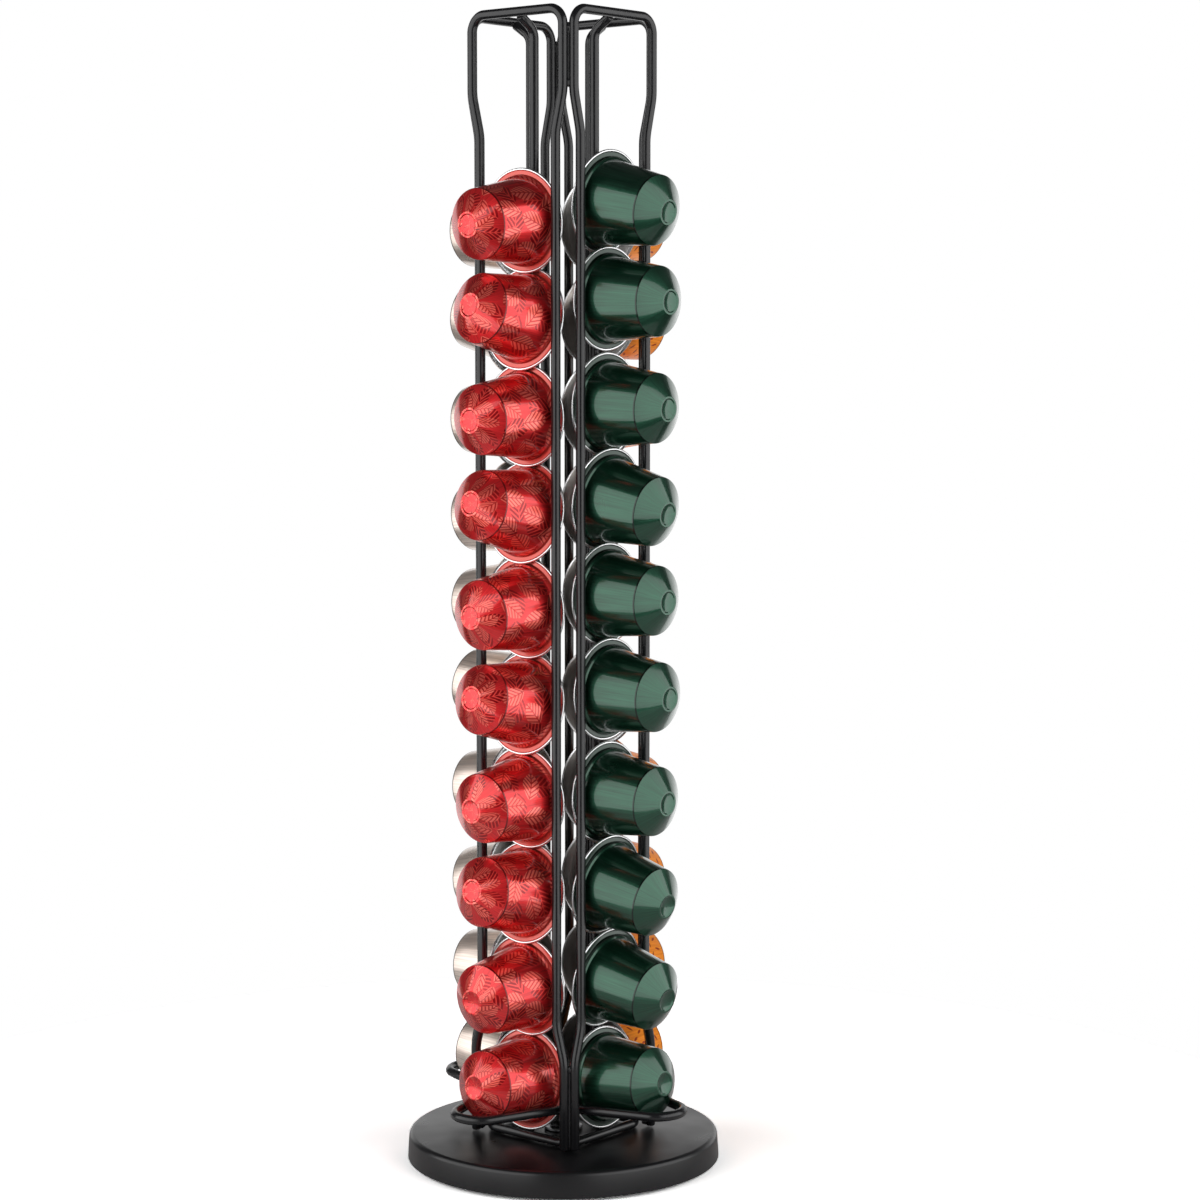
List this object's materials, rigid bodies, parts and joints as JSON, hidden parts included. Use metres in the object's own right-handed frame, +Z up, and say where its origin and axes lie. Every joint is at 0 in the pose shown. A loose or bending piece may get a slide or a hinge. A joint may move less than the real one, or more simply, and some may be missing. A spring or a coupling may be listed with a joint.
{
  "type": "coffee capsule dispenser",
  "caption": "Rotating wire tower on a round pan that stores coffee capsules in upright columns and gives them out at the foot.",
  "frame": {"origin": "centre of the rubber ring's underside on the table, on the axis the tower turns about", "axes": "+Z up along the turning axis; the capsule columns face -Y, +X, +Y and -X"},
  "size_m": [0.1144, 0.1144, 0.4158],
  "materials": {
    "black_steel": "satin black powder coat",
    "bare_steel": "zinc plated",
    "rubber": "matte",
    "nylon": "smooth moulded",
    "foil_red": "red metallic lacquer",
    "foil_green": "dark green metallic lacquer",
    "foil_orange": "orange metallic lacquer",
    "foil_champagne": "champagne metallic lacquer"
  },
  "bodies": {
    "foot": {"foot_plate": "bare_steel", "rubber_foot_ring": "rubber", "glide_ring": "nylon", "pivot_bolt": "black_steel", "pivot_washer": "bare_steel", "pivot_nut": "bare_steel"},
    "tower": {"base_pan": "black_steel", "bottom_ring": "black_steel", "side_frame_front": "black_steel", "back_wire_front": "black_steel", "stop_loop_front": "black_steel", "side_frame_right": "black_steel", "back_wire_right": "black_steel", "stop_loop_right": "black_steel", "side_frame_back": "black_steel", "back_wire_back": "black_steel", "stop_loop_back": "black_steel", "side_frame_left": "black_steel", "back_wire_left": "black_steel", "stop_loop_left": "black_steel"},
    "stack_front": {"capsule_front_01": "foil_red", "capsule_front_02": "foil_red", "capsule_front_03": "foil_red", "capsule_front_04": "foil_red", "capsule_front_05": "foil_red", "capsule_front_06": "foil_red", "capsule_front_07": "foil_red", "capsule_front_08": "foil_red", "capsule_front_09": "foil_red", "capsule_front_10": "foil_red"},
    "stack_right": {"capsule_right_01": "foil_green", "capsule_right_02": "foil_green", "capsule_right_03": "foil_green", "capsule_right_04": "foil_green", "capsule_right_05": "foil_green", "capsule_right_06": "foil_green", "capsule_right_07": "foil_green", "capsule_right_08": "foil_green", "capsule_right_09": "foil_green", "capsule_right_10": "foil_green"},
    "stack_back": {"capsule_back_01": "foil_orange", "capsule_back_02": "foil_orange", "capsule_back_03": "foil_orange", "capsule_back_04": "foil_orange", "capsule_back_05": "foil_orange", "capsule_back_06": "foil_orange", "capsule_back_07": "foil_orange", "capsule_back_08": "foil_orange", "capsule_back_09": "foil_orange", "capsule_back_10": "foil_orange"},
    "stack_left": {"capsule_left_01": "foil_champagne", "capsule_left_02": "foil_champagne", "capsule_left_03": "foil_champagne", "capsule_left_04": "foil_champagne", "capsule_left_05": "foil_champagne", "capsule_left_06": "foil_champagne", "capsule_left_07": "foil_champagne", "capsule_left_08": "foil_champagne", "capsule_left_09": "foil_champagne", "capsule_left_10": "foil_champagne"}
  },
  "joints": [
    {"name": "tower_spin", "type": "hinge", "parent": "foot", "child": "tower", "pos_m": [0, 0, 0.0107], "axis": [0, 0, 1], "continuous": true},
    {"name": "stack_front_lift", "type": "slide", "parent": "tower", "child": "stack_front", "axis": [0, 0, 1], "range_m": [0, 0.03]},
    {"name": "stack_right_lift", "type": "slide", "parent": "tower", "child": "stack_right", "axis": [0, 0, 1], "range_m": [0, 0.03]},
    {"name": "stack_back_lift", "type": "slide", "parent": "tower", "child": "stack_back", "axis": [0, 0, 1], "range_m": [0, 0.03]},
    {"name": "stack_left_lift", "type": "slide", "parent": "tower", "child": "stack_left", "axis": [0, 0, 1], "range_m": [0, 0.03]}
  ]
}
